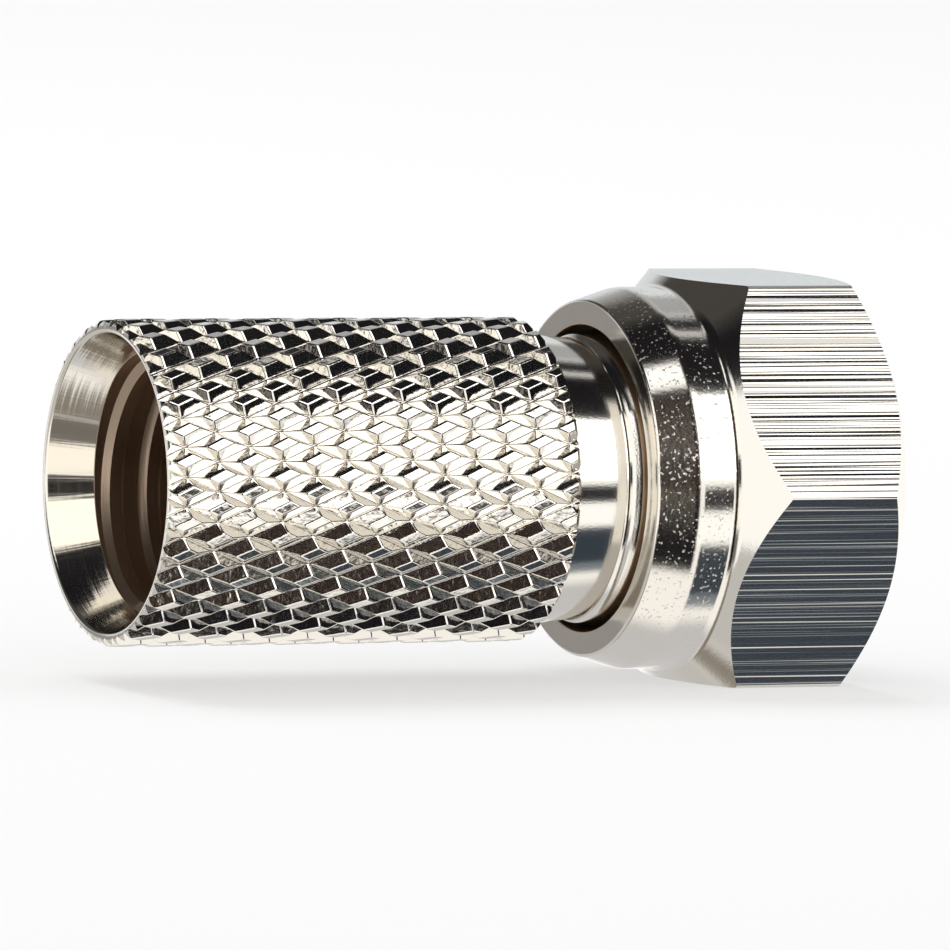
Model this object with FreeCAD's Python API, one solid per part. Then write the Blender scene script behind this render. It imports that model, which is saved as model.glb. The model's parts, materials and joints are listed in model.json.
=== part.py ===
import FreeCAD, Part

import math
import os

# Twist on coaxial cable connector: a knurled sleeve that screws over the cable's jacket, a hexagon
# coupling nut that turns freely on the sleeve's end, and the ferrule that keeps the nut on.
# The frame's origin is on the axis at the face the mating port meets, X points out of the nut
# towards the port and Z up, square to a flat of the nut. All sizes are in millimetres.

# Every radius follows, inwards or outwards, from the minor radius of the nut's 3/8-32 thread,
# and every place along the axis from the frame's origin, by the walls, steps and lengths below.
thread_radius = 4.333

# Coupling nut, outwards from its thread
thread_lead_in = 0.45
thread_relief_depth = 0.467
collar_wall = 0.43
hex_wall = 0.70
hex_corner_round = 0.20
front_face_width = 0.547
front_chamfer_angle = 37.0
back_chamfer_angle = 45.0

# Coupling nut, forwards from its back face
collar_edge = 0.08
collar_dome_rise = 0.36
collar_dome_length = 1.30
collar_land = 0.793
collar_fillet = 0.45
hex_corner_length = 3.09
lip_thickness = 0.90

# Running clearances of the nut, radially and at each side of its lip
nut_clearance = 0.05
nut_play = 0.05

# Ferrule pressed into the sleeve from the nut's side
ferrule_flange_thickness = 0.70
ferrule_flange_inset = 0.133
ferrule_wall = 0.65
ferrule_tube_inset = 0.15
ferrule_chamfer = 0.15

# Sleeve: the flange that runs inside the nut, and the neck between it and the grip
flange_inset = 0.183
flange_thickness = 0.90
neck_step = 0.31
neck_wall = 0.74
neck_taper = 0.16
neck_length = 2.02

# Hole for the cable's jacket, entered through a flared mouth
cable_stop_step = 0.45
cable_stop_angle = 45.0
cable_stop_inset = 0.58
mouth_flare = 0.53
mouth_depth = 1.23

# Knurled grip of the sleeve
grip_length = 12.18
grip_wall = 0.88
grip_chamfer = 0.15

# Diamond knurl: flat topped studs left between two crossing families of V grooves
knurl_starts = 32
knurl_pitch = 1.90
knurl_depth = 0.26
wide_groove_angle = 93.0
narrow_groove_angle = 68.0
stud_from_mouth = 1.51
stud_angle = 161.7

# Short cones that stand for each turned round: fillets and the collar's dome
fillet_steps = 2
dome_steps = 4

# Radii that follow from the thread outwards
thread_relief_radius = thread_radius + thread_relief_depth
collar_radius = thread_relief_radius + collar_wall
front_face_radius = thread_radius + thread_lead_in + front_face_width
hex_across_flats = 2 * (thread_relief_radius + hex_wall)
hex_corner = hex_across_flats / 2 / math.cos(math.radians(30))

# Radii that follow from the thread inwards, and out again to the grip
ferrule_flange_radius = thread_radius - ferrule_flange_inset
flange_radius = thread_radius - flange_inset
neck_radius = flange_radius - neck_step
ferrule_tube_radius = neck_radius - neck_wall
ferrule_bore_radius = ferrule_tube_radius - ferrule_wall
cable_radius = ferrule_tube_radius + cable_stop_step
grip_radius = cable_radius + grip_wall

# Places along the axis, from the face the port meets back to the mouth
ferrule_back_x = -ferrule_flange_thickness
lip_front_x = ferrule_back_x - nut_play
lip_back_x = lip_front_x - lip_thickness
flange_front_x = lip_back_x - nut_play
flange_back_x = flange_front_x - flange_thickness
grip_end_x = flange_back_x - neck_length
mouth_x = grip_end_x - grip_length
cable_stop_x = grip_end_x - cable_stop_inset
cable_stop_end_x = cable_stop_x + cable_stop_step / math.tan(math.radians(cable_stop_angle))


def at(x, radius, angle=0.0):
    """A point at a place along the axis, a distance from it and an angle about it."""
    return FreeCAD.Vector(x, radius * math.cos(angle), radius * math.sin(angle))


def turned(points):
    """The solid turned from a closed outline of places along the axis and radii."""
    corners = [at(x, radius) for x, radius in points]
    outline = Part.makePolygon(corners + corners[:1])
    return Part.Face(outline).revolve(FreeCAD.Vector(), FreeCAD.Vector(1, 0, 0), 360)


def arc_points(centre, radius, start, end, steps):
    """Points along an arc of an outline, between two directions in degrees."""
    turns = [math.radians(start + (end - start) * step / steps) for step in range(steps + 1)]
    return [(centre[0] + radius * math.cos(turn), centre[1] + radius * math.sin(turn)) for turn in turns]


def sewn(polygons):
    """The solid closed in by flat faces, each given by its corners."""
    skin = Part.Compound([Part.Face(Part.makePolygon([*corners, corners[0]])) for corners in polygons])
    skin.sewShape()
    return Part.Solid(skin.Shells[0])


def faceted(points, sides, turn):
    """As turned, but with flat sides, the first of them facing the angle given in degrees."""
    step = math.radians(360 / sides)
    angles = [math.radians(turn) + (side + 0.5) * step for side in range(sides)]
    rings = [[at(x, radius / math.cos(step / 2), angle) for angle in angles] for x, radius in points]
    polygons = [rings[0], rings[-1]]
    for ring, after in zip(rings, rings[1:]):
        for side in range(sides):
            polygons.append([ring[side - 1], ring[side], after[side], after[side - 1]])
    return sewn(polygons)


def knurl_point(column, row, depth):
    """A point of the knurl, counted in half pitches along and around from the first stud."""
    x = mouth_x + stud_from_mouth + column * knurl_pitch / 2
    angle = math.radians(stud_angle) + row * math.pi / knurl_starts
    return at(x, grip_radius - depth, angle)


def groove_share(v_angle):
    """How much of a stud's spacing one flank of a V groove takes."""
    around = math.pi * grip_radius / knurl_starts
    along = knurl_pitch / 2
    spacing = 2 * around * along / math.hypot(around, along)
    return knurl_depth * math.tan(math.radians(v_angle / 2)) / spacing


def stud_triangles(column, row):
    """The flat topped stud at one place, out to the floors of the four grooves around it."""
    top_s = 0.5 - groove_share(narrow_groove_angle)
    top_t = 0.5 - groove_share(wide_groove_angle)
    corners = ((-1, -1), (1, -1), (1, 1), (-1, 1))
    top = [knurl_point(column + s * top_s + t * top_t, row - s * top_s + t * top_t, 0) for s, t in corners]
    foot = [knurl_point(column + (s + t) / 2, row + (t - s) / 2, knurl_depth) for s, t in corners]
    triangles = [(top[0], top[1], top[2]), (top[0], top[2], top[3])]
    for side in range(4):
        after = (side + 1) % 4
        triangles += [(foot[side], foot[after], top[after]), (foot[side], top[after], top[side])]
    return triangles


def knurled_bar():
    """A bar with the knurl all around it, longer than the grip at both ends."""
    half_pitch = knurl_pitch / 2
    first = -math.ceil(stud_from_mouth / half_pitch) - 1
    last = math.ceil((grip_length - stud_from_mouth) / half_pitch) + 1
    triangles = []
    for column in range(first, last + 1):
        for row in range(column % 2, 2 * knurl_starts, 2):
            triangles += stud_triangles(column, row)

    # The edges that only one triangle has are the bar's two ragged ends, closed by fans
    def key(point):
        return (round(point.x, 5), round(point.y, 5), round(point.z, 5))

    edges = {}
    for triangle in triangles:
        for a, b in zip(triangle, triangle[1:] + triangle[:1]):
            edges.setdefault(frozenset((key(a), key(b))), []).append((a, b))
    middle_x = (mouth_x + grip_end_x) / 2
    back = at(mouth_x + stud_from_mouth + first * half_pitch, 0)
    front = at(mouth_x + stud_from_mouth + last * half_pitch, 0)
    for users in edges.values():
        if len(users) == 1:
            a, b = users[0]
            apex = back if a.x < middle_x else front
            triangles.append((b, a, apex))

    return sewn(triangles)


def make_sleeve():
    """The sleeve: knurled grip, neck and flange, bored for the cable and the ferrule."""
    # The grip is the knurled bar trimmed by a blank that only touches it at its ends
    over = grip_radius + grip_chamfer
    grip_blank = faceted([
        (mouth_x, grip_radius - grip_chamfer),
        (mouth_x + 2 * grip_chamfer, over),
        (grip_end_x - 2 * grip_chamfer, over),
        (grip_end_x, grip_radius - grip_chamfer),
    ], 2 * knurl_starts, stud_angle)
    grip = knurled_bar().common(grip_blank)

    # Neck, slightly tapered, with a concave fillet up to the flange's edge
    neck_start_x = grip_end_x - grip_chamfer
    neck = turned([
        (neck_start_x, 0),
        (neck_start_x, neck_radius + neck_taper),
        (grip_end_x, neck_radius + neck_taper),
        *arc_points((flange_back_x - neck_step, flange_radius), neck_step, -90, 0, fillet_steps),
        (flange_front_x, flange_radius),
        (flange_front_x, 0),
    ])

    # One boring for the flared mouth, the cable's jacket and the ferrule's tube
    boring = turned([
        (mouth_x, 0),
        (mouth_x, cable_radius + mouth_flare),
        (mouth_x + mouth_depth, cable_radius),
        (cable_stop_x, cable_radius),
        (cable_stop_end_x, ferrule_tube_radius),
        (flange_front_x, ferrule_tube_radius),
        (flange_front_x, 0),
    ])
    return grip.fuse(neck).cut(boring)


def make_ferrule():
    """The flanged tube that is pressed into the sleeve and keeps the nut on."""
    tube_end_x = cable_stop_end_x + ferrule_tube_inset
    return turned([
        (0, ferrule_bore_radius),
        (0, ferrule_flange_radius - ferrule_chamfer),
        (-ferrule_chamfer, ferrule_flange_radius),
        (ferrule_back_x, ferrule_flange_radius),
        (ferrule_back_x, ferrule_tube_radius),
        (tube_end_x + ferrule_chamfer, ferrule_tube_radius),
        (tube_end_x, ferrule_tube_radius - ferrule_chamfer),
        (tube_end_x, ferrule_bore_radius),
    ])


def hexagon_bar(start_x, end_x):
    """Drawn hexagon bar with rounded corners and two flats square to Z."""
    trim = hex_corner_round * math.tan(math.radians(30))
    tip_radius = hex_corner - hex_corner_round * (1 / math.cos(math.radians(30)) - 1)
    edges = []
    for side in range(6):
        before, here, after = [at(start_x, hex_corner, math.radians(60 * (side + k))) for k in (-1, 0, 1)]
        to_before = (before - here).normalize() * trim
        to_after = (after - here).normalize() * trim
        tip = at(start_x, tip_radius, math.radians(60 * side))
        edges.append(Part.Arc(here + to_before, tip, here + to_after).toShape())
        edges.append(Part.LineSegment(here + to_after, after - to_after).toShape())
    return Part.Face(Part.Wire(edges)).extrude(FreeCAD.Vector(end_x - start_x, 0, 0))


def make_nut():
    """The coupling nut, turned from hexagon bar, its back level with the sleeve's flange."""
    back_x = flange_back_x

    # Domed collar
    run = collar_dome_length - collar_edge
    dome_radius = (run * run + collar_dome_rise * collar_dome_rise) / (2 * collar_dome_rise)
    dome_centre = (back_x + collar_dome_length, collar_radius - dome_radius)
    dome_turn = math.degrees(math.asin(run / dome_radius))

    # Concave fillet from the collar to the chamfer behind the hexagon's corners
    fillet_centre = (back_x + collar_dome_length + collar_land, collar_radius + collar_fillet)
    fillet = arc_points(fillet_centre, collar_fillet, -90, back_chamfer_angle - 90, fillet_steps)

    # Both chamfers run a little past the hexagon's corners, which the bar then trims
    spare = hex_corner + collar_edge
    back_slope = math.tan(math.radians(back_chamfer_angle))
    front_slope = math.tan(math.radians(front_chamfer_angle))
    back_corner_x = fillet[-1][0] + (hex_corner - fillet[-1][1]) / back_slope
    front_corner_x = back_corner_x + hex_corner_length
    front_x = front_corner_x + (hex_corner - front_face_radius) * front_slope

    # Round the outside from the back, then from the front through the lead in, thread, relief,
    # lip and the hole for the sleeve's flange
    pocket_radius = flange_radius + nut_clearance
    lip_radius = ferrule_tube_radius + nut_clearance
    blank = turned([
        (back_x, pocket_radius),
        (back_x, collar_radius - collar_dome_rise - collar_edge),
        *arc_points(dome_centre, dome_radius, 90 + dome_turn, 90, dome_steps),
        *fillet,
        (back_corner_x + (spare - hex_corner) / back_slope, spare),
        (front_corner_x - (spare - hex_corner) * front_slope, spare),
        (front_x, front_face_radius),
        (front_x, thread_radius + thread_lead_in),
        (front_x - thread_lead_in, thread_radius),
        (0, thread_radius),
        (0, thread_relief_radius),
        (lip_front_x, thread_relief_radius),
        (lip_front_x, lip_radius),
        (lip_back_x, lip_radius),
        (lip_back_x, pocket_radius),
    ])
    return blank.common(hexagon_bar(back_x, front_x))


os.makedirs("parts", exist_ok=True)
make_sleeve().exportStep("parts/knurled_sleeve.step")
make_nut().exportStep("parts/coupling_nut.step")
make_ferrule().exportStep("parts/inner_ferrule.step")
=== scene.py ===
import json
import math

import bpy
from mathutils import Matrix, Vector


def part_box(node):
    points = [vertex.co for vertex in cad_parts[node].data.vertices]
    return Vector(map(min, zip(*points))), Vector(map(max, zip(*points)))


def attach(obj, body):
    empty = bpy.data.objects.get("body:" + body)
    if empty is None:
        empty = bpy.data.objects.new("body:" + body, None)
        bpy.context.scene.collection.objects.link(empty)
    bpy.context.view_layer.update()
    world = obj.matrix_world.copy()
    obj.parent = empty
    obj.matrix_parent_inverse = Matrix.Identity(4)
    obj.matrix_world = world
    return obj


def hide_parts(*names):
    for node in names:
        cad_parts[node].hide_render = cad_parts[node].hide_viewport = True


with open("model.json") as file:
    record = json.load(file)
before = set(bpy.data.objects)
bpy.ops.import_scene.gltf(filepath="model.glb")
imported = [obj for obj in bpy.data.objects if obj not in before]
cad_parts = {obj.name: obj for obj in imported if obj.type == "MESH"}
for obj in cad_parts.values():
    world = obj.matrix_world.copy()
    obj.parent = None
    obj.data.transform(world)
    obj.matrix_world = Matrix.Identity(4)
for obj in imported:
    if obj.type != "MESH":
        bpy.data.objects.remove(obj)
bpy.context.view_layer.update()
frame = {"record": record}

# The pieces are modelled with one unit as one millimetre, and brought to metres when they are finished
MM = 0.001

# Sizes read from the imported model
mounts = {mount["name"]: mount["dims"] for mount in frame["record"]["mounts"]}
sleeve_low, sleeve_high = [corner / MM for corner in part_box("knurled_sleeve")]
nut_low, nut_high = [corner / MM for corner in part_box("coupling_nut")]
ferrule_low, ferrule_high = [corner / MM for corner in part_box("inner_ferrule")]
mouth_x = sleeve_low.x
flange_front_x = sleeve_high.x
nut_back_x = nut_low.x
nut_front_x = nut_high.x
hex_flat_radius = nut_high.z
hex_half_side = math.radians(30)
hex_corner = hex_flat_radius / math.cos(hex_half_side)
thread_radius = mounts["coupling_thread"]["r_mm"]
cable_radius = mounts["cable_bore"]["r_mm"]
ferrule_bore_radius = mounts["dielectric_bore"]["r_mm"]
ferrule_flange_radius = ferrule_high.z
ferrule_end_x = ferrule_low.x

# Sleeve
grip_length = 12.18
grip_radius = 4.43
grip_chamfer = 0.15
grip_end_x = mouth_x + grip_length
neck_grip_radius = 4.00
neck_nut_radius = 3.84
flange_radius = 4.15
flange_back_x = nut_back_x
mouth_radius = 4.08
mouth_depth = 1.23
mouth_edge = 0.09
neck_foot = 0.15
ferrule_tube_radius = 3.10
cable_stop_depth = 0.58
cable_stop_x = grip_end_x - cable_stop_depth
cable_stop_end_x = cable_stop_x + cable_radius - ferrule_tube_radius

# Diamond knurl of the sleeve: flat topped studs between two families of V grooves
knurl_starts = 32
knurl_pitch = 1.90
knurl_depth = 0.26
wide_groove_angle = 93.0
narrow_groove_angle = 68.0
stud_from_mouth = 1.51
stud_angle = 161.7
stud_edge = 0.045
stud_edge_angle = 20.0
stud_half_along = knurl_pitch / 2
stud_half_around = math.pi * grip_radius / knurl_starts

# Thread inside the sleeve that bites into the cable's jacket
jacket_pitch = 1.10
jacket_depth = 0.25
jacket_root = 0.22
jacket_lead_in = 0.13
jacket_shoulder = 0.02
jacket_flank_angle = 35.0

# Coupling nut
hex_corner_round = 0.20
collar_radius = 5.23
collar_dome_rise = 0.36
collar_dome_length = 1.30
collar_cone_angle = 17.5
collar_land = 0.793
collar_fillet = 0.45
collar_edge = 0.08
hex_corner_length = 3.09
front_face_radius = 5.33
front_chamfer_angle = 37.0
back_chamfer_angle = 45.0
edge_break = 0.04
thread_lead_in = 0.45
thread_relief_radius = 4.80
lip_front_x = -0.75
lip_back_x = -1.65
running_clearance = 0.05

# 3/8-32 thread of the nut, with the flats that such a thread has at its crest and root
nut_pitch = 25.4 / 32
nut_thread_depth = 0.43
nut_flank_angle = 30.0

# Ferrule
ferrule_flange_thickness = 0.70
ferrule_chamfer = 0.15

# Facets round a full turn, and along the small arcs
fine_facets = 240
plain_facets = 144
thread_facets = 72
dome_facets = 16
fillet_facets = 10
hex_corner_facets = 6
stud_edge_facets = 2

# Points closer than this are merged, and faces that meet at less than this angle are shaded as one
merge_distance = 0.0005
stud_merge_distance = 0.002
smooth_angle = 28.0

# How far the bar and the knurl reach past the piece that they are trimmed to
bar_spare = 1.0
knurl_spare_mouth = 2.0
knurl_spare_flange = 1.0


# Modelling

def only(piece):
    """Selects one piece and nothing else."""
    bpy.ops.object.select_all(action="DESELECT")
    piece.select_set(True)
    bpy.context.view_layer.objects.active = piece


def edit(piece):
    """Starts to edit a piece with nothing of it selected."""
    only(piece)
    bpy.ops.object.mode_set(mode="EDIT")
    bpy.ops.mesh.select_all(action="DESELECT")


def leave():
    """Ends the edit."""
    bpy.ops.object.mode_set(mode="OBJECT")


def edit_chosen(piece, kind, claim):
    """Starts to edit a piece with those of its corners, edges or faces selected that a test claims."""
    edit(piece)
    bpy.ops.mesh.select_mode(type=kind)
    leave()
    parts = {"VERT": piece.data.vertices, "EDGE": piece.data.edges, "FACE": piece.data.polygons}[kind]
    for part in parts:
        part.select = claim(part)
    bpy.ops.object.mode_set(mode="EDIT")


def modified(piece, kind, **settings):
    """Adds one modifier to a piece and applies it."""
    only(piece)
    modifier = piece.modifiers.new(kind.lower(), kind)
    for setting, value in settings.items():
        setattr(modifier, setting, value)
    bpy.ops.object.modifier_apply(modifier=modifier.name)


def placed(piece, location=(0, 0, 0), rotation=(0, 0, 0), scale=(1, 1, 1)):
    """Scales, turns and moves a piece, and leaves its object at the origin."""
    only(piece)
    piece.location, piece.rotation_euler, piece.scale = location, rotation, scale
    bpy.ops.object.transform_apply(location=True, rotation=True, scale=True)


def combined(piece, tool, operation):
    """Cuts a piece with a tool, or trims it to the tool, and throws the tool away."""
    modified(piece, "BOOLEAN", operation=operation, solver="EXACT", object=tool)
    bpy.data.objects.remove(tool)


def drawn(name, points):
    """A closed outline of places along the axis and radii, drawn from point to point."""
    bpy.ops.object.select_all(action="DESELECT")
    bpy.ops.mesh.primitive_plane_add(size=1)
    outline = bpy.context.object
    outline.name = name
    bpy.ops.object.mode_set(mode="EDIT")
    bpy.ops.mesh.select_all(action="SELECT")
    bpy.ops.mesh.merge(type="CENTER")
    bpy.ops.transform.translate(value=(points[0][0], 0, points[0][1]))
    for (x, radius), (next_x, next_radius) in zip(points, points[1:]):
        step = (next_x - x, 0, next_radius - radius)
        bpy.ops.mesh.extrude_region_move(TRANSFORM_OT_translate={"value": step})
    leave()
    edit_chosen(outline, "VERT", lambda vertex: vertex.index in (0, len(points) - 1))
    bpy.ops.mesh.edge_face_add()
    leave()
    return outline


def turned(name, points, facets):
    """A ring turned on the axis from a closed outline."""
    ring = drawn(name, points)
    edit(ring)
    bpy.ops.mesh.select_all(action="SELECT")
    bpy.ops.mesh.spin(steps=facets, angle=math.tau, center=(0, 0, 0), axis=(1, 0, 0))
    bpy.ops.mesh.select_all(action="SELECT")
    bpy.ops.mesh.remove_doubles(threshold=merge_distance)
    bpy.ops.mesh.normals_make_consistent(inside=False)
    leave()
    return ring


def arc(centre, radius, start, end, steps):
    """Points along an arc of an outline, between two directions in degrees."""
    turns = [math.radians(start + (end - start) * step / steps) for step in range(steps + 1)]
    x, y = centre
    return [(x + radius * math.cos(turn), y + radius * math.sin(turn)) for turn in turns]


def broken(before, corner, after, width):
    """A corner of an outline with its edge broken: rounded off by a few short steps."""
    corner = Vector(corner)
    start = corner + (Vector(before) - corner).normalized() * width
    end = corner + (Vector(after) - corner).normalized() * width
    shares = (0, 0.25, 0.5, 0.75, 1)
    return [tuple((1 - t) ** 2 * start + 2 * t * (1 - t) * corner + t * t * end) for t in shares]


def groove_section(half_root, root_radius, inside_radius, flank_angle):
    """The section of a thread's groove: a flat root, and two flanks that open towards the axis."""
    flank = (root_radius - inside_radius) * math.tan(math.radians(flank_angle))
    return [
        (-half_root - flank, inside_radius),
        (-half_root, root_radius),
        (half_root, root_radius),
        (half_root + flank, inside_radius),
    ]


def thread_cutter(name, section, pitch, start_x, turns):
    """The form that a threading tool sweeps: its section carried round the axis, both ends closed."""
    cutter = drawn(name, [(start_x + x, radius) for x, radius in section])
    modified(cutter, "SCREW", axis="X", angle=math.tau, screw_offset=pitch, iterations=turns,
             steps=thread_facets, render_steps=thread_facets, use_merge_vertices=False)
    edit(cutter)
    bpy.ops.mesh.select_all(action="SELECT")
    bpy.ops.mesh.remove_doubles(threshold=merge_distance)
    bpy.ops.mesh.select_all(action="DESELECT")
    bpy.ops.mesh.select_non_manifold()
    bpy.ops.mesh.fill_holes(sides=0)
    bpy.ops.mesh.select_all(action="SELECT")
    bpy.ops.mesh.normals_make_consistent(inside=False)
    leave()
    return cutter


def finished(piece, name, node, body):
    """Brings a piece to metres, smooths its round faces and puts it in its node's place."""
    only(piece)
    piece.name = name
    piece.data.name = name
    bpy.ops.object.shade_smooth_by_angle(angle=math.radians(smooth_angle))
    # Wide faces keep their own direction, and only the narrow ones between them turn
    modified(piece, "WEIGHTED_NORMAL", weight=100, thresh=0.01, keep_sharp=True)
    placed(piece, scale=(MM, MM, MM))
    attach(piece, body)
    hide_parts(node)
    return piece


# Sleeve

def groove_share(v_angle):
    """How much of a stud's spacing one flank of a V groove takes."""
    spacing = 2 * stud_half_around * stud_half_along / math.hypot(stud_half_around, stud_half_along)
    return knurl_depth * math.tan(math.radians(v_angle / 2)) / spacing


def knurl_stud():
    """One stud: a square pressed up to a smaller flat top, then drawn out to the knurl's diamond.
    It lies with its length along X, its width along Z and its top towards minus Y."""
    bpy.ops.object.select_all(action="DESELECT")
    bpy.ops.mesh.primitive_plane_add(size=2)
    stud = bpy.context.object
    stud.name = "knurl_stud"
    bpy.ops.object.mode_set(mode="EDIT")
    bpy.ops.mesh.select_all(action="SELECT")
    bpy.ops.mesh.extrude_region_move(TRANSFORM_OT_translate={"value": (0, 0, knurl_depth)})
    narrow_top = 1 - 2 * groove_share(narrow_groove_angle)
    wide_top = 1 - 2 * groove_share(wide_groove_angle)
    bpy.ops.transform.resize(value=(wide_top, narrow_top, 1))
    leave()

    # The foot's own face goes: the stud is open underneath, where the bar carries it
    edit_chosen(stud, "FACE", lambda face: abs(face.center.z) < knurl_depth / 10)
    bpy.ops.mesh.delete(type="ONLY_FACE")
    bpy.ops.mesh.select_mode(type="VERT")
    leave()

    # Turned by an eighth, the square's corners point along and around, and it is drawn out to a diamond
    placed(stud, rotation=(0, 0, math.radians(-45)))
    placed(stud, scale=(stud_half_along / math.sqrt(2), stud_half_around / math.sqrt(2), 1))
    placed(stud, rotation=(math.radians(90), 0, 0), location=(0, knurl_depth, 0))
    return stud


def set_out(strip, count, step):
    """Repeats a strip a number of times, each one step on."""
    modified(strip, "ARRAY", count=count, use_relative_offset=False, use_constant_offset=True,
             constant_offset_displace=step)


def knurled_bar():
    """The knurl: studs set out in rows on a strip, the strip bent round, and its ends run out plain."""
    columns = math.ceil(grip_length / knurl_pitch) + 1
    first_x = mouth_x + stud_from_mouth - knurl_pitch
    strip = knurl_stud()
    set_out(strip, 2, (stud_half_along, 0, stud_half_around))
    set_out(strip, columns, (knurl_pitch, 0, 0))
    set_out(strip, knurl_starts, (0, 0, 2 * stud_half_around))

    # Bent round, the strip's two long edges meet. It overlaps itself by the half step of its rows
    half_steps = 2 * knurl_starts
    modified(strip, "SIMPLE_DEFORM", deform_method="BEND", deform_axis="X",
             angle=math.tau * (half_steps + 1) / half_steps)
    placed(strip, location=(first_x, -grip_radius, 0))
    placed(strip, rotation=(math.radians(stud_angle - 180), 0, 0))
    edit(strip)
    bpy.ops.mesh.select_all(action="SELECT")
    bpy.ops.mesh.remove_doubles(threshold=stud_merge_distance)
    bpy.ops.mesh.normals_make_consistent(inside=False)
    leave()
    modified(strip, "BEVEL", width=stud_edge, segments=stud_edge_facets, limit_method="ANGLE",
             angle_limit=math.radians(stud_edge_angle), loop_slide=False)

    # Both ragged ends are run out along the bar, flattened and closed
    middle_x = (mouth_x + grip_end_x) / 2
    for side, end_x in ((-1, mouth_x - knurl_spare_mouth), (1, flange_front_x + knurl_spare_flange)):
        edit(strip)
        bpy.ops.mesh.select_non_manifold()
        leave()
        for edge in strip.data.edges:
            centre_x = sum(strip.data.vertices[i].co.x for i in edge.vertices) / 2
            edge.select = edge.select and (centre_x - middle_x) * side > 0
        for vertex in strip.data.vertices:
            vertex.select = vertex.select and (vertex.co.x - middle_x) * side > 0
        bpy.ops.object.mode_set(mode="EDIT")
        bpy.ops.mesh.extrude_region_move(TRANSFORM_OT_translate={"value": (side, 0, 0)})
        bpy.ops.transform.resize(value=(0, 1, 1), center_override=(end_x, 0, 0))
        bpy.ops.mesh.edge_face_add()
        leave()
    edit(strip)
    bpy.ops.mesh.select_all(action="SELECT")
    bpy.ops.mesh.normals_make_consistent(inside=False)
    leave()
    return strip


def make_sleeve():
    """The sleeve: turned all over, bored and threaded, and left thick where the knurl is rolled."""
    # Over the knurl's own radius by the chamfer, so that the knurl alone shapes the grip's outside
    over = grip_radius + grip_chamfer
    grip_end_radius = grip_radius - grip_chamfer
    crest_radius = cable_radius - jacket_depth
    mouth_rim = (mouth_x, mouth_radius)
    mouth_foot = (mouth_x + mouth_depth, cable_radius)
    grip_start = (mouth_x + 2 * grip_chamfer, over)
    neck_end = (flange_back_x - (flange_radius - neck_nut_radius), neck_nut_radius)
    flange_back = (flange_back_x, flange_radius)
    flange_front = (flange_front_x, flange_radius)
    blank = turned("sleeve_blank", [
        (mouth_x, mouth_radius + mouth_edge),
        *broken((mouth_x, 0), (mouth_x, grip_end_radius), grip_start, mouth_edge),
        grip_start,
        (grip_end_x - 2 * grip_chamfer, over),
        (grip_end_x, grip_end_radius),
        (grip_end_x, neck_grip_radius),
        *broken((grip_end_x, neck_nut_radius), neck_end, flange_back, neck_foot),
        *broken(flange_back, flange_front, (flange_front_x, 0), edge_break),
        (flange_front_x, ferrule_tube_radius),
        (cable_stop_end_x, ferrule_tube_radius),
        (cable_stop_x + jacket_depth, crest_radius),
        (mouth_x + mouth_depth + jacket_lead_in, crest_radius),
        mouth_foot,
        *broken(mouth_foot, mouth_rim, (mouth_x, over), mouth_edge),
    ], fine_facets)

    # The tool starts inside the mouth. It cuts a little less deep than the foot of the mouth's cone, so
    # that the edge between the two stays clean
    root_radius = cable_radius - jacket_shoulder
    inside_radius = crest_radius - jacket_depth / 2
    section = groove_section(jacket_root, root_radius, inside_radius, jacket_flank_angle)
    start_x = mouth_x + mouth_depth / 3
    turns = int((cable_stop_x - start_x) / jacket_pitch)
    combined(blank, thread_cutter("jacket_tap", section, jacket_pitch, start_x, turns), "DIFFERENCE")
    combined(blank, knurled_bar(), "INTERSECT")
    return finished(blank, "turned_sleeve", "knurled_sleeve", "sleeve")


# Nut

def hexagon_bar():
    """The drawn hexagon bar that the nut is turned from, with its long corners rounded."""
    length = nut_front_x - nut_back_x + 2 * bar_spare
    bpy.ops.object.select_all(action="DESELECT")
    bpy.ops.mesh.primitive_cylinder_add(vertices=6, radius=hex_corner, depth=length)
    bar = bpy.context.object
    bar.name = "hexagon_bar"
    placed(bar, location=((nut_front_x + nut_back_x) / 2, 0, 0), rotation=(0, math.radians(90), 0))

    def runs_along(edge):
        start, end = [bar.data.vertices[i].co.x for i in edge.vertices]
        return abs(start - end) > length / 2

    edit_chosen(bar, "EDGE", runs_along)
    bpy.ops.mesh.bevel(offset=hex_corner_round * math.tan(hex_half_side), segments=hex_corner_facets)
    bpy.ops.mesh.select_mode(type="VERT")
    leave()
    return bar


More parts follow.
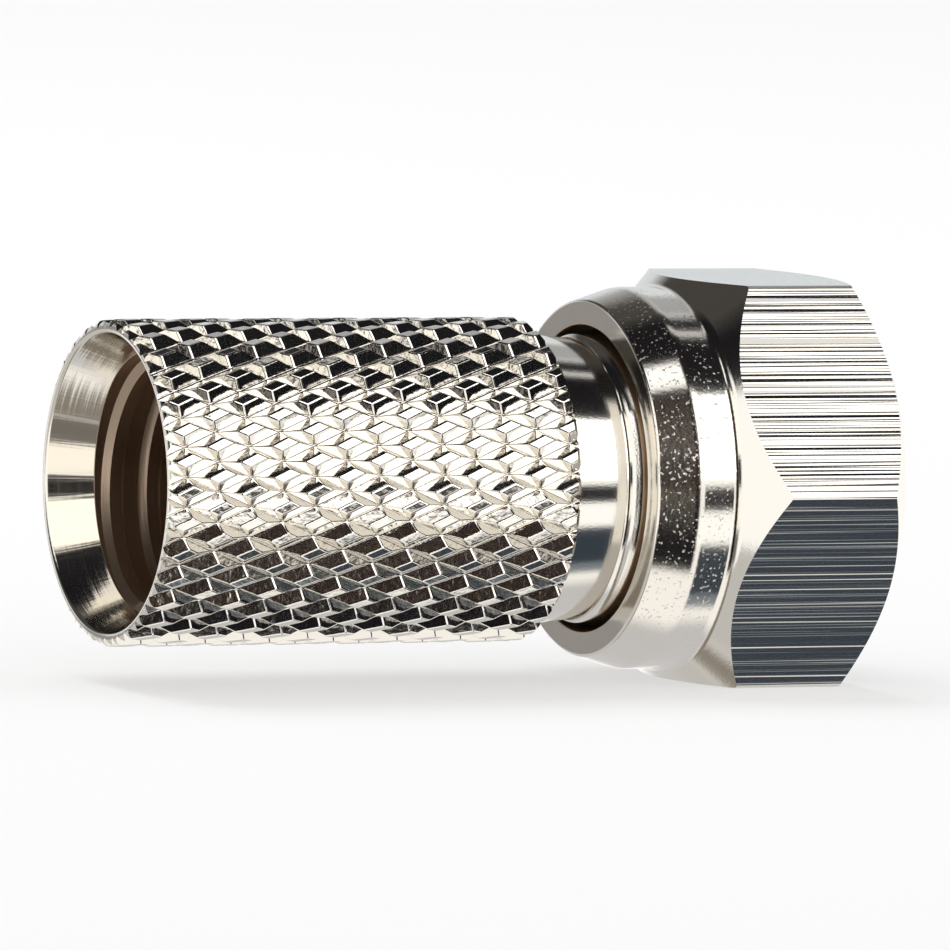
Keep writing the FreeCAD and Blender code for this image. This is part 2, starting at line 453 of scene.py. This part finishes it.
def make_nut():
    """The coupling nut: turned from the bar, with a domed collar, and threaded for the port."""
    # The collar rises as a cone and runs over into its land in an arc
    slope = math.tan(math.radians(collar_cone_angle))
    arc_length = 2 * (collar_dome_length - collar_dome_rise / slope)
    arc_x = nut_back_x + collar_dome_length
    dome = [(nut_back_x, collar_radius - collar_dome_rise)]
    for step in range(dome_facets + 1):
        rest = 1 - step / dome_facets
        dome.append((arc_x - arc_length * rest, collar_radius - slope * arc_length * rest ** 2 / 2))
    fillet_centre = (nut_back_x + collar_dome_length + collar_land, collar_radius + collar_fillet)
    fillet = arc(fillet_centre, collar_fillet, -90, back_chamfer_angle - 90, fillet_facets)

    # The two chamfers run on past the bar's corners, and the bar itself trims them
    spare = hex_corner + collar_edge
    back_slope = math.tan(math.radians(back_chamfer_angle))
    front_slope = math.tan(math.radians(front_chamfer_angle))
    back_corner_x = fillet[-1][0] + (hex_corner - fillet[-1][1]) / back_slope
    front_corner_x = back_corner_x + hex_corner_length
    back_spare = (back_corner_x + (spare - hex_corner) / back_slope, spare)
    front_spare = (front_corner_x - (spare - hex_corner) * front_slope, spare)

    pocket_radius = flange_radius + running_clearance
    lip_radius = ferrule_tube_radius + running_clearance
    back_rim = dome[0]
    front_rim = (nut_front_x, front_face_radius)
    lead_rim = (nut_front_x, thread_radius + thread_lead_in)
    lead_foot = (nut_front_x - thread_lead_in, thread_radius)
    pocket_rim = (nut_back_x, pocket_radius)
    blank = turned("nut_blank", [
        *broken((lip_back_x, pocket_radius), pocket_rim, back_rim, edge_break),
        *broken(pocket_rim, back_rim, dome[1], collar_edge),
        *dome[1:],
        *fillet,
        back_spare,
        front_spare,
        *broken(front_spare, front_rim, lead_rim, edge_break),
        *broken(front_rim, lead_rim, lead_foot, edge_break),
        lead_foot,
        (0, thread_radius),
        (0, thread_relief_radius),
        (lip_front_x, thread_relief_radius),
        (lip_front_x, lip_radius),
        (lip_back_x, lip_radius),
        (lip_back_x, pocket_radius),
    ], fine_facets)

    # The groove's root is an eighth of the pitch wide. The tool starts in the relief behind the thread
    root_radius = thread_radius + nut_thread_depth
    inside_radius = thread_radius - nut_thread_depth / 4
    section = groove_section(nut_pitch / 16, root_radius, inside_radius, nut_flank_angle)
    start_x = lip_front_x / 2
    turns = math.ceil(nut_front_x / nut_pitch) + 1
    combined(blank, thread_cutter("port_tap", section, nut_pitch, start_x, turns), "DIFFERENCE")
    combined(blank, hexagon_bar(), "INTERSECT")
    return finished(blank, "hexagon_nut", "coupling_nut", "nut")


# Ferrule

def make_ferrule():
    """The ferrule: a thin tube with a flange, its edges broken."""
    bore_front = (0, ferrule_bore_radius)
    flange_front = (0, ferrule_flange_radius)
    flange_back = (-ferrule_flange_thickness, ferrule_flange_radius)
    ferrule = turned("ferrule_blank", [
        *broken((ferrule_end_x, ferrule_bore_radius), bore_front, flange_front, edge_break),
        (0, ferrule_flange_radius - ferrule_chamfer),
        (-ferrule_chamfer, ferrule_flange_radius),
        *broken(flange_front, flange_back, (flange_back[0], 0), edge_break),
        (flange_back[0], ferrule_tube_radius),
        (ferrule_end_x + ferrule_chamfer, ferrule_tube_radius),
        (ferrule_end_x, ferrule_tube_radius - ferrule_chamfer),
        (ferrule_end_x, ferrule_bore_radius),
    ], plain_facets)
    return finished(ferrule, "pressed_ferrule", "inner_ferrule", "sleeve")


# Finishes

# Bright nickel, as its plating shines under a wide light, a darker brown for bores and threads, and the
# white of the studio
BRIGHT = "#E8E3DA"
BORE_BROWN = "#B5A08C"
WHITE = "#FFFFFF"


def linear(code):
    """A colour written as sRGB hex, as the linear values that a shader takes."""
    shares = [int(code[place:place + 2], 16) / 255 for place in (1, 3, 5)]
    parts = [share / 12.92 if share <= 0.04045 else ((share + 0.055) / 1.055) ** 2.4 for share in shares]
    return (*parts, 1)


def lit(code, level):
    """The light of a coloured panel at a level, where one is as bright as the floor."""
    return (*[part * level for part in linear(code)[:3]], 1)


def add(tree, kind, inputs=(), **settings):
    """Adds one node with its settings. An input is given a value or the socket that feeds it."""
    made = tree.nodes.new(kind)
    for setting, value in settings.items():
        setattr(made, setting, value)
    for name, value in dict(inputs).items():
        if isinstance(value, bpy.types.NodeSocket):
            tree.links.new(value, made.inputs[name])
        else:
            made.inputs[name].default_value = value
    return made


def fresh_material(name):
    """An empty material, with the tree that it is drawn in."""
    material = bpy.data.materials.new(name)
    material.use_nodes = True
    material.node_tree.nodes.clear()
    return material, material.node_tree


def grain(tree, coordinates, size, detail, roughness=0.5):
    """Noise whose grains have a real size in millimetres along each axis."""
    scale = [1 / (length * MM) for length in size]
    laid = add(tree, "ShaderNodeMapping", {"Vector": coordinates, "Scale": scale}).outputs["Vector"]
    noise = add(tree, "ShaderNodeTexNoise", {
        "Vector": laid, "Scale": 1.0, "Detail": detail, "Roughness": roughness})
    return noise.outputs["Fac"]


def round_the_axis(tree):
    """Coordinates of a turned surface: place along the axis, distance from it, and length around it."""
    place = add(tree, "ShaderNodeTexCoord").outputs["Object"]
    parts = add(tree, "ShaderNodeSeparateXYZ", {"Vector": place}).outputs
    x, y, z = parts["X"], parts["Y"], parts["Z"]
    across = add(tree, "ShaderNodeCombineXYZ", {"Y": y, "Z": z}).outputs["Vector"]
    radius = add(tree, "ShaderNodeVectorMath", {"Vector": across}, operation="LENGTH").outputs["Value"]
    angle = add(tree, "ShaderNodeMath", {0: y, 1: z}, operation="ARCTAN2").outputs["Value"]
    around = add(tree, "ShaderNodeMath", {0: angle, 1: grip_radius * MM}, operation="MULTIPLY")
    return add(tree, "ShaderNodeCombineXYZ", {
        "X": x, "Y": radius, "Z": around.outputs["Value"]}).outputs["Vector"]


def pressed(tree, layers):
    """The bumps of a surface, one on the other. Each has a height map and its depth in millimetres."""
    normal = None
    for height, depth in layers:
        inputs = {"Height": height, "Distance": depth * MM, "Strength": 1.0}
        if normal is not None:
            inputs["Normal"] = normal
        normal = add(tree, "ShaderNodeBump", inputs).outputs["Normal"]
    return normal


def plated(name, colour, roughness, layers):
    """Electroplated nickel: a metal shader and its bumps, which a function of the tree draws."""
    material, tree = fresh_material(name)
    shader = add(tree, "ShaderNodeBsdfPrincipled", {
        "Base Color": linear(colour), "Metallic": 1.0, "Roughness": roughness,
        "Normal": pressed(tree, layers(tree))})
    add(tree, "ShaderNodeOutputMaterial", {"Surface": shader.outputs["BSDF"]})
    return material


def drawn_finish():
    """The die drags long lines along the bar, so each flat shows a stack of light and dark streaks."""
    ridge_length, ridge_width, ridge_depth = 60.0, 0.24, 0.007
    mark_length, mark_width, mark_depth = 14.0, 0.10, 0.0022
    lean_depth = 0.012

    def layers(tree):
        place = add(tree, "ShaderNodeTexCoord").outputs["Object"]
        # Only the high part of the noise stands up, as sharp lines on plain ground
        lines = grain(tree, place, (ridge_length, ridge_width, ridge_width), detail=2.0, roughness=0.6)
        ridges = add(tree, "ShaderNodeMapRange", {
            "Value": lines, "From Min": 0.46, "From Max": 0.59}).outputs["Result"]
        fine = grain(tree, place, (mark_length, mark_width, mark_width), detail=1.0)
        marks = add(tree, "ShaderNodeMapRange", {
            "Value": fine, "From Min": 0.48, "From Max": 0.64}).outputs["Result"]
        # The lines lean one way, as the die rubs from one side
        height = add(tree, "ShaderNodeSeparateXYZ", {"Vector": place}).outputs["Z"]
        lean = add(tree, "ShaderNodeMath", {0: height, 1: -1 / MM}, operation="MULTIPLY")
        return [(lean.outputs["Value"], lean_depth), (ridges, ridge_depth), (marks, mark_depth)]
    return plated("nickel_plated_brass_drawn", BRIGHT, 0.12, layers)


def turned_finish(name, line, depth, grit, grit_depth, colour=BRIGHT, roughness=0.12):
    """The tool leaves fine rings, and the plating a grain over them: highlights end a little frayed."""
    ring_length = 6.0

    def layers(tree):
        place = round_the_axis(tree)
        rings = grain(tree, place, (line, line, ring_length), detail=2.0)
        specks = grain(tree, place, (grit, grit, grit), detail=1.0)
        return [(rings, depth), (specks, grit_depth)]
    return plated(name, colour, roughness, layers)


def formed_finish():
    """A form tool's rough pass under the plating: single bright specks, and ragged ends of highlights."""
    pit_size, pit_depth = 0.09, 0.010
    even_size, even_depth = 0.13, 0.0016

    def layers(tree):
        place = add(tree, "ShaderNodeTexCoord").outputs["Object"]
        rough = grain(tree, place, (pit_size, pit_size, pit_size), detail=2.0)
        pits = add(tree, "ShaderNodeMapRange", {
            "Value": rough, "From Min": 0.64, "From Max": 0.76}).outputs["Result"]
        even = grain(tree, place, (even_size, even_size, even_size), detail=1.0)
        return [(pits, pit_depth), (even, even_depth)]
    return plated("nickel_plated_brass_formed", BRIGHT, 0.13, layers)


def flared_finish():
    """The tool's rings, crossed by the chatter marks of a cut without support: a cross-hatched shine."""
    mark_width, ring_length, chatter_length = 0.13, 5.0, 2.5
    ring_depth, chatter_depth = 0.005, 0.0035

    def layers(tree):
        place = round_the_axis(tree)
        rings = grain(tree, place, (mark_width, mark_width, ring_length), detail=1.5)
        chatter = grain(tree, place, (chatter_length, chatter_length, mark_width), detail=1.5)
        return [(rings, ring_depth), (chatter, chatter_depth)]
    return plated("nickel_plated_brass_countersunk", BRIGHT, 0.12, layers)


def knurled_finish():
    """The roller squeezes the brass up unevenly, so tops and flanks each shine in their own way."""
    dent_size, dent_depth = 0.22, 0.007

    def layers(tree):
        place = add(tree, "ShaderNodeTexCoord").outputs["Object"]
        dents = grain(tree, place, (dent_size, dent_size, dent_size), detail=2.0)
        return [(dents, dent_depth)]
    return plated("nickel_plated_brass_knurled", BRIGHT, 0.11, layers)


def painted(piece, regions):
    """Gives each face of a finished piece its finish. The first region that claims a face has it."""
    for _, material in regions:
        piece.data.materials.append(material)
    for face in piece.data.polygons:
        centre, normal = face.center / MM, face.normal
        radius = math.hypot(centre.y, centre.z)
        outwards = (normal.y * centre.y + normal.z * centre.z) / radius
        claims = (claim(centre.x, radius, normal.x, outwards) for claim, _ in regions)
        face.material_index = next(index for index, claimed in enumerate(claims) if claimed)


# Regions, told by a face's place along the axis, its radius, and how far it looks along the axis and
# outwards. Both looks run from minus one to one, and an end face has the first at one

def in_mouth_cone(x, radius, along, out):
    """The cone leans along the axis, and the bore behind it doesn't."""
    return x < mouth_x + mouth_depth and out < 0 and abs(along) > 0.2


def in_sleeve_bore(x, radius, along, out):
    """The bore, its thread and the step that stops the cable."""
    return radius < cable_radius + jacket_depth and out < 0.5


def on_grip(x, radius, along, out):
    """Studs and grooves, and not the grip's end faces."""
    return x < grip_end_x and abs(along) < 0.98


def in_nut_bore(x, radius, along, out):
    """Whatever looks towards the axis: pocket, lip, relief and thread."""
    return out < -0.1


def on_faced_ring(x, radius, along, out):
    """The end face round the neck."""
    return x < nut_back_x + edge_break and along < -0.9


def on_hexagon(x, radius, along, out):
    """The flats of the bar, and the rounded corners between them."""
    return abs(along) < 0.01 and radius > hex_flat_radius - 0.05


def on_collar(x, radius, along, out):
    """The cone, the arc and the land of the collar."""
    return x < nut_back_x + collar_dome_length + collar_land


def anywhere(x, radius, along, out):
    """What no other region has claimed."""
    return True


sleeve = make_sleeve()
nut = make_nut()
ferrule = make_ferrule()

# Smooth turned faces: clean bands of light and dark, their ends a little frayed
turned_nickel = turned_finish(
    "nickel_plated_brass_turned", line=0.07, depth=0.0010, grit=0.06, grit_depth=0.0012)
# The nut's faced ring: an even satin grey
faced_nickel = turned_finish(
    "nickel_plated_brass_faced", line=0.10, depth=0.0012, grit=0.10, grit_depth=0.001)
# Bores and threads: a darker brown colour and a rougher surface than the outside, with light on the
# crests
bored_nickel = turned_finish(
    "nickel_plated_brass_bored", line=0.14, depth=0.009, grit=0.06, grit_depth=0.001,
    colour=BORE_BROWN, roughness=0.32)
# Streaks on the hexagon, ragged light on the collar, cross-hatching in the mouth, glitter on the knurl
drawn_nickel = drawn_finish()
formed_nickel = formed_finish()
flared_nickel = flared_finish()
knurled_nickel = knurled_finish()

painted(sleeve, [
    (in_mouth_cone, flared_nickel),
    (in_sleeve_bore, bored_nickel),
    (on_grip, knurled_nickel),
    (anywhere, turned_nickel),
])
painted(nut, [
    (in_nut_bore, bored_nickel),
    (on_faced_ring, faced_nickel),
    (on_hexagon, drawn_nickel),
    (on_collar, formed_nickel),
    (anywhere, turned_nickel),
])
painted(ferrule, [(anywhere, turned_nickel)])


# Studio

def window(tree, value, low, high, soft):
    """One where a value lies between two limits and nothing outside them, with soft sides."""
    rise = add(tree, "ShaderNodeMapRange", {
        "Value": value, "From Min": low - soft, "From Max": low + soft}).outputs["Result"]
    fall = add(tree, "ShaderNodeMapRange", {
        "Value": value, "From Min": high + soft, "From Max": high - soft}).outputs["Result"]
    return add(tree, "ShaderNodeMath", {0: rise, 1: fall}, operation="MULTIPLY").outputs["Value"]


def panel(tree, under, turn, lean, turns, leans, colour, level, soft):
    """Lays one panel of the room over what is there. Its place is a range of turns and one of leans, and
    soft is the half width of its soft sides in degrees."""
    lean_per_degree = 1 / 60
    across = window(tree, turn, *turns, soft)
    along = window(tree, lean, *leans, soft * lean_per_degree)
    share = add(tree, "ShaderNodeMath", {0: across, 1: along}, operation="MULTIPLY").outputs["Value"]
    mixed = add(tree, "ShaderNodeMix", {0: share, 6: under, 7: lit(colour, level)}, data_type="RGBA")
    return mixed.outputs[2]


def room_light(tree, turn, lean):
    """The room round the object as its metal shows it. Turn goes in degrees from the front horizon over
    the ceiling to the back, and below the horizon to minus 180. Lean is the share towards the nut's
    end."""
    # Beyond the last lean at either end, so that a panel's soft side stays out of the room
    left, right = -2, 2
    front = (-0.23, 0.72)
    gap = (-0.215, 0.09)
    light = add(tree, "ShaderNodeRGB").outputs["Color"]
    light.default_value = lit("#FFFEFC", 1.15)
    panels = [
        # The ceiling is dim, and pale and bluish again at the back
        ((50, 119), (left, right), "#1C1B1E", 1.0, 3),
        ((119, 150), (0.3, right), "#B0B3B8", 1.0, 6),
        ((150, 190), (left, right), "#DCE2E6", 1.05, 8),
        ((112, 160), (left, 0.28), "#4A4846", 1.0, 6),
        ((99, 105), (0.2, 0.6), WHITE, 0.7, 1.5),
        # A wide soft light in front, a smaller one to the left, and a small lamp over the gap between
        ((5, 56), front, WHITE, 2.4, 1.5),
        ((18, 57), (left, -0.235), "#FFF9EC", 1.5, 1.2),
        ((59, 76), (-0.13, -0.01), WHITE, 1.6, 2),
        # The gap between the two lights, and the dark end of the room to the right
        ((-50, 58), gap, "#2C201C", 1.0, 1.2),
        ((-50, -12), gap, "#17161B", 1.0, 4),
        ((-44, 64), (0.72, right), "#101014", 1.0, 3),
        # The table: its far edge, the pale front of it, and a slate mat
        ((-15, -1), (0.34, 0.72), "#1C1C20", 1.0, 0.7),
        ((-34, -16), (0.09, 0.72), WHITE, 1.3, 1.0),
        ((-80, -66), (0.36, 0.72), "#7E8791", 1.0, 3),
        ((-70, -37), (0.34, 0.72), "#3A434E", 1.0, 1.2),
        ((-160, -92), (-0.2, 0.72), "#D3D3D6", 1.0, 6),
        # The left end: a dark edge, a pale blind, its shade, and a dull wall below
        ((-1, 17), (left, -0.22), "#1C1A1A", 1.0, 1.2),
        ((-27, -2), (left, -0.215), "#F8F3E8", 1.35, 1.2),
        ((-48, -27), (left, -0.215), "#7A7670", 1.0, 2),
        ((-125, -49), (-0.46, -0.22), "#8F887F", 1.0, 2.5),
        ((-165, -125), (left, -0.1), "#CFCFCE", 1.0, 3),
        ((-190, -165), (-0.52, -0.33), "#979493", 1.0, 2),
        ((165, 190), (-0.52, -0.33), "#979493", 1.0, 2),
        # The white wall beside the mouth, and the pale grey one beyond the nut
        ((-52, 74), (left, -0.52), WHITE, 1.25, 4),
        ((-160, -52), (left, -0.47), "#CFCFCE", 1.0, 2),
        ((-200, 200), (0.94, right), "#B9B9C4", 1.0, 2),
    ]
    for turns, leans, colour, level, soft in panels:
        light = panel(tree, light, turn, lean, turns, leans, colour, level, soft)
    return add(tree, "ShaderNodeBackground", {"Color": light, "Strength": 1.0}).outputs["Background"]


def make_room():
    """The world. The camera and matt surfaces see plain white, and the metal sees lights and gaps."""
    world = bpy.data.worlds.new("studio_room")
    bpy.context.scene.world = world
    world.use_nodes = True
    tree = world.node_tree
    tree.nodes.clear()
    way = add(tree, "ShaderNodeTexCoord").outputs["Generated"]
    parts = add(tree, "ShaderNodeSeparateXYZ", {"Vector": way}).outputs
    front = add(tree, "ShaderNodeMath", {0: parts["Y"], 1: -1.0}, operation="MULTIPLY").outputs["Value"]
    turn = add(tree, "ShaderNodeMath", {0: parts["Z"], 1: front}, operation="ARCTAN2").outputs["Value"]
    degrees = add(tree, "ShaderNodeMath", {0: turn}, operation="DEGREES").outputs["Value"]
    room = room_light(tree, degrees, parts["X"])

    # Matt surfaces get this much of their light from the room, and the lamp gives them the rest
    matt_level = 0.68
    rays = add(tree, "ShaderNodeLightPath").outputs
    level = add(tree, "ShaderNodeMapRange", {
        "Value": rays["Is Diffuse Ray"], "To Min": 1.0, "To Max": matt_level}).outputs["Result"]
    white = add(tree, "ShaderNodeBackground", {"Color": linear(WHITE), "Strength": level})
    plain = add(tree, "ShaderNodeMath", {
        0: rays["Is Camera Ray"], 1: rays["Is Diffuse Ray"]}, operation="MAXIMUM").outputs["Value"]
    shown = add(tree, "ShaderNodeMixShader", {0: plain, 1: room, 2: white.outputs["Background"]})
    add(tree, "ShaderNodeOutputWorld", {"Surface": shown.outputs["Shader"]})


def floor_white():
    """Matt white board, half its own white where the camera or a reflection sees it: it stays white,
    and it keeps the object's shadow."""
    own_white = 0.5
    material, tree = fresh_material("floor_white")
    rays = add(tree, "ShaderNodeLightPath").outputs
    seen = rays["Is Camera Ray"]
    for ray in (rays["Is Glossy Ray"], rays["Is Transmission Ray"]):
        seen = add(tree, "ShaderNodeMath", {0: seen, 1: ray}, operation="ADD").outputs["Value"]
    half = add(tree, "ShaderNodeMath", {0: seen, 1: own_white}, operation="MULTIPLY").outputs["Value"]
    matt = add(tree, "ShaderNodeBsdfDiffuse", {"Color": linear("#F6F6F6")}).outputs["BSDF"]
    white = add(tree, "ShaderNodeEmission", {"Color": linear(WHITE), "Strength": 1.0})
    shown = add(tree, "ShaderNodeMixShader", {0: half, 1: matt, 2: white.outputs["Emission"]})
    add(tree, "ShaderNodeOutputMaterial", {"Surface": shown.outputs["Shader"]})
    return material


def make_floor():
    """The studio's floor: a wide level board just under the nut's lowest flat."""
    floor_width = 8000
    floor_gap = 0.01
    bpy.ops.object.select_all(action="DESELECT")
    bpy.ops.mesh.primitive_plane_add(size=floor_width * MM)
    floor = bpy.context.object
    floor.name = "floor"
    placed(floor, location=(0, 0, (-hex_flat_radius - floor_gap) * MM))
    floor.data.materials.append(floor_white())
    # The metal sees the table as the room's own light paints it, from the front edge to the back
    floor.visible_glossy = False


def make_lamp():
    """A soft lamp above and behind the object, which gives it its shadow on the floor."""
    lamp_data = bpy.data.lights.new("top_lamp", "AREA")
    lamp_data.shape = "DISK"
    lamp_data.size = 0.35
    lamp_data.energy = 0.95
    lamp = bpy.data.objects.new("top_lamp", lamp_data)
    lamp.location = (-0.06, 0.20, 0.45)
    lamp.rotation_mode = "QUATERNION"
    lamp.rotation_quaternion = lamp.location.to_track_quat("Z", "Y")
    lamp.visible_camera = False
    lamp.visible_glossy = False
    bpy.context.scene.collection.objects.link(lamp)


make_room()
make_floor()
make_lamp()


# Camera, at the place that the photograph was taken from
camera_place = Vector((-188.107, -387.921, 36.059)) * MM
camera_right = Vector((0.90568574, -0.42293814, 0.02926893))
camera_up = Vector((0.00894337, 0.0880835, 0.99607295))
camera_back = Vector((-0.42385534, -0.9018673, 0.08355847))
camera_data = bpy.data.cameras.new("camera")
camera_data.sensor_width = 36
camera_data.lens = 598.33
camera_data.clip_start = 0.01
camera_data.clip_end = 100
camera = bpy.data.objects.new("camera", camera_data)
camera_turn = Matrix((camera_right, camera_up, camera_back)).transposed()
camera.matrix_world = Matrix.Translation(camera_place) @ camera_turn.to_4x4()
bpy.context.scene.collection.objects.link(camera)
bpy.context.scene.camera = camera
bpy.context.scene.view_settings.view_transform = "Standard"
